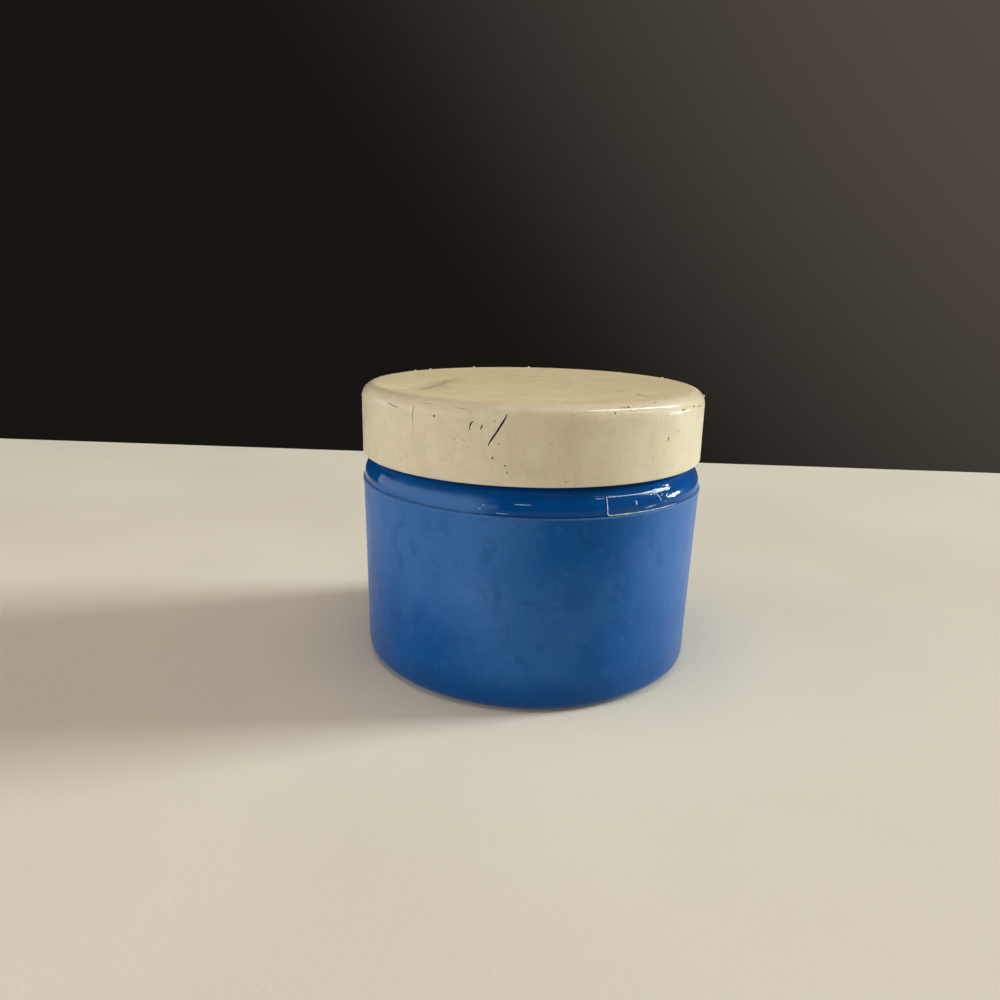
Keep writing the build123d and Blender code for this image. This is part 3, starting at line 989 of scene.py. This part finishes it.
def tape_edge_path():
    """From near the right end along the film's top, down its left end and back along its foot."""
    path = []
    top_steps, side_steps, corner_steps, foot_steps = 40, 11, 7, 60
    top_start = TAPE_RIGHT - 3
    for i in range(top_steps):
        azimuth = top_start - (top_start - TAPE_LEFT) * i / top_steps
        path.append(shoulder_at(azimuth, TAPE_HEIGHT, 0.05))
    for j in range(side_steps + 1):
        height = TAPE_HEIGHT - (TAPE_HEIGHT - TAPE_CORNER) * j / side_steps
        path.append(shoulder_at(TAPE_LEFT, height, 0.06))
    for k in range(1, corner_steps):
        a = math.radians(90 * k / corner_steps)
        azimuth = TAPE_LEFT + math.degrees(TAPE_CORNER * (1 - math.cos(a)) / SHOULDER_R)
        path.append(shoulder_at(azimuth, TAPE_CORNER * (1 - math.sin(a)), 0.06))
    foot_start = TAPE_LEFT + math.degrees(TAPE_CORNER / SHOULDER_R)
    for i in range(foot_steps + 1):
        azimuth = foot_start + (TAPE_RIGHT - foot_start) * i / foot_steps
        path.append(shoulder_at(azimuth, 0.02, 0.06))
    return path


def tape_edge(material):
    """The film's cut edge and glue line, coloured pale as a painted highlight, and widened near the right
    end of its top where a painted highlight band runs.
    """
    path = tape_edge_path()
    count, sides = len(path), 8
    verts, faces = [], []
    for i, p in enumerate(path):
        ahead = (path[min(i + 1, count - 1)] - path[max(i - 1, 0)]).normalized()
        out = Vector((p.x, p.y, 6)).normalized()
        side = ahead.cross(out).normalized()
        out = side.cross(ahead).normalized()
        ragged = 0.8 + 0.5 * noise.noise(Vector((i * 0.31, 0, 0)))
        width = 0.085 * ragged * min(1, 0.2 + (count - i) / 20)
        # painted highlight: the edge is widened near the right end of the top
        width *= 1 + 4.0 * smooth(24, 8, i) * smooth(-3, 4, i)
        for k in range(sides):
            a = TURN * k / sides
            verts.append(p + side * (width * math.cos(a)) + out * (width * 0.6 * math.sin(a)))
    tube_faces(faces, count, sides)
    return add_mesh("tape_edge", verts, faces, material)


# pale strokes over the film's wrinkles stand for their glints: painted highlights
WRINKLE_GLINTS = (
    ((32.4, 34.05), (33.0, 33.75), 0.16),
    ((33.0, 33.75), (32.5, 33.45), 0.14),
    ((41.2, 34.45), (42.4, 33.95), 0.20),
    ((43.9, 34.35), (43.3, 34.10), 0.16),
    ((42.4, 33.95), (42.8, 33.35), 0.24),
    ((45.6, 34.05), (46.4, 34.20), 0.20),
    ((36.0, 32.75), (40.5, 32.95), 0.10),
)

film = tape_film()
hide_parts("tape_strip")
edge_highlight_material = tape_edge_highlight_material()
for part in (film, tape_edge(edge_highlight_material), strokes("tape_wrinkle_glints", WRINKLE_GLINTS, 0.17, edge_highlight_material)):
    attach(part, "jar")


# ---------------------------------------------------------------- paint and liner
def sculpt_paint(p):
    """A stirred, half-levelled surface."""
    r = math.hypot(p.x, p.y)
    if p.z > PAINT_TOP - 1.2:
        swirl = math.sin(r * 0.55 + 2.0 * math.atan2(p.y, p.x) + noise.noise(p * 0.08) * 3)
        p.z += (0.22 * swirl - 0.25) * smooth(PAINT_R, PAINT_R - 4, r)
    return p


def paint_profile():
    level = PAINT_TOP - 0.4
    surface = run((0.0, level), (PAINT_R - 1.6, level), 30)
    creep = [(PAINT_R - 1.0, PAINT_TOP - 0.33), (PAINT_R - 0.45, PAINT_TOP - 0.15)]
    creep += [(PAINT_R - 0.05, PAINT_TOP)]
    side = [(BOWL_TOP_R - PAINT_GAP, SHELL_TOP), (BOWL_BEND_R - PAINT_GAP, BOWL_BEND_Z)]
    floor = arc(BOWL_ROUND_CENTRE, BOWL_ROUND - PAINT_GAP, 0, -90, 8) + [(0, PAINT_LOW)]
    return [(0, level)] + surface + creep + side + floor


paint = lathe("paint_fill", paint_profile(), paint_material(), sculpt_paint, AROUND_INSIDE)
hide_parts("paint")
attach(paint, "jar")


def sculpt_liner(p):
    """The neck's rim has pressed a ring into the foam's underside."""
    if p.z < (LINER_LOW + LINER_TOP) / 2:
        p.z += 0.16 * bump(math.hypot(p.x, p.y) - (NECK_R + NECK_BORE) / 2, 0.8)
    return p


def liner_profile():
    edge, corner = LINER_R - 0.2, 0.2
    under = run((0, LINER_LOW), (edge, LINER_LOW), 60)
    rim = arc((edge, LINER_LOW + corner), corner, -60, 0, 3)
    rim += arc((edge, LINER_TOP - corner), corner, 0, 90, 4)
    return [(0, LINER_LOW)] + under + rim + [(12, LINER_TOP), (0, LINER_TOP)]


liner = lathe("liner_disc", liner_profile(), foam_material(), sculpt_liner, AROUND_INSIDE)
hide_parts("lid_liner")
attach(liner, "liner")


# ---------------------------------------------------------------- floor, light and camera
def floor_piece():
    back, front, side = 0.170, -0.9, 0.9
    corners = [(-side, front, 0), (side, front, 0), (side, back, 0), (-side, back, 0)]
    mesh = bpy.data.meshes.new("floor")
    mesh.from_pydata(corners, [], [(0, 1, 2, 3)])
    mesh.materials.append(paper_material())
    piece = bpy.data.objects.new("floor", mesh)
    bpy.context.scene.collection.objects.link(piece)


def soft_light(name, direction, distance, size, power, colour=(1, 1, 1), roll=0.0, shiny=True, lit=True):
    """A rectangular light facing the jar, rolled about its own axis; shiny and lit say what sees it."""
    light = bpy.data.lights.new(name, "AREA")
    light.shape = "RECTANGLE"
    light.size, light.size_y = size
    light.energy = power
    light.color = colour
    holder = bpy.data.objects.new(name, light)
    place = Vector(direction).normalized() * distance
    holder.location = place
    facing = (Vector((0, 0, 0.03)) - place).to_track_quat("-Z", "Y").to_matrix()
    holder.rotation_euler = (facing @ Matrix.Rotation(roll, 3, "Z")).to_euler()
    holder.visible_glossy = shiny
    holder.visible_diffuse = lit
    bpy.context.scene.collection.objects.link(holder)


def backdrop():
    """A dark room, a little paler towards the upper right of the view from the front."""
    world = bpy.data.worlds.new("studio")
    world.use_nodes = True
    tree = world.node_tree
    way = tree.nodes.new("ShaderNodeTexCoord")
    lean = tree.nodes.new("ShaderNodeVectorMath")
    lean.operation = "DOT_PRODUCT"
    lean.inputs[1].default_value = (0.75, 0.2, 0.63)
    tree.links.new(way.outputs["Generated"], lean.inputs[0])
    paler = tree.nodes.new("ShaderNodeMapRange")
    paler.interpolation_type = "SMOOTHSTEP"
    for key, value in {"From Min": 0.10, "From Max": 0.75, "To Min": 0.0088, "To Max": 0.084}.items():
        paler.inputs[key].default_value = value
    tree.links.new(lean.outputs["Value"], paler.inputs["Value"])
    background = tree.nodes["Background"]
    background.inputs["Color"].default_value = rgba(1.0, 0.84, 0.68)
    tree.links.new(paler.outputs["Result"], background.inputs["Strength"])
    bpy.context.scene.world = world


def studio():
    backdrop()
    daylight = (0.91, 1.0, 0.98)
    soft_light("window", (0.9225, 0.231, 0.309), 2.20, (0.56, 0.88), 60.0, daylight, shiny=False)
    soft_light("window_glint", (0.945, 0.300, 0.100), 1.10, (0.22, 0.10), 3.8, daylight, lit=False)
    soft_light("window_edge", (0.63, 0.14, 0.76), 1.10, (0.03, 1.0), 10.0, daylight, 0.61, lit=False)
    soft_light("window_frame", (0.80, -0.14, 0.60), 1.10, (0.015, 0.9), 1.2, daylight, 0.7, lit=False)
    soft_light("overhead", (0.0, -0.10, 1.0), 1.00, (0.7, 0.7), 3.3, (1.0, 0.90, 0.76))
    soft_light("front_fill", (-0.15, -0.85, 0.45), 1.1, (1.2, 0.6), 1.6, (1.0, 0.91, 0.80), shiny=False)
    soft_light("left_fill", (-0.90, -0.30, 0.35), 1.1, (1.2, 0.6), 1.7, (1.0, 0.87, 0.68), shiny=False)
    soft_light("left_wall", (-0.943, -0.334, 0.18), 1.10, (2.6, 0.55), 9.7, (0.85, 0.93, 1.0))
    bpy.context.scene.view_settings.view_transform = "Standard"


def camera():
    """Close view from the front, looking down about 15 degrees, as a phone held over a table sees it."""
    distance, height = 0.13925, 0.0637
    yaw, pitch, roll = -0.0391, 0.2595, 0.0269
    ahead = Vector((math.sin(yaw) * math.cos(pitch), math.cos(yaw) * math.cos(pitch), -math.sin(pitch)))
    level = Vector((math.cos(yaw), -math.sin(yaw), 0))
    upward = level.cross(ahead)
    right = math.cos(roll) * level + math.sin(roll) * upward
    up = math.cos(roll) * upward - math.sin(roll) * level
    turn = Matrix((right, up, -ahead)).transposed().to_4x4()
    data = bpy.data.cameras.new("camera")
    data.sensor_width = 36
    data.lens = 0.78 * data.sensor_width
    data.clip_start = 0.005
    holder = bpy.data.objects.new("camera", data)
    holder.matrix_world = Matrix.Translation((0, -distance, height)) @ turn
    bpy.context.scene.collection.objects.link(holder)
    bpy.context.scene.camera = holder


floor_piece()
studio()
camera()
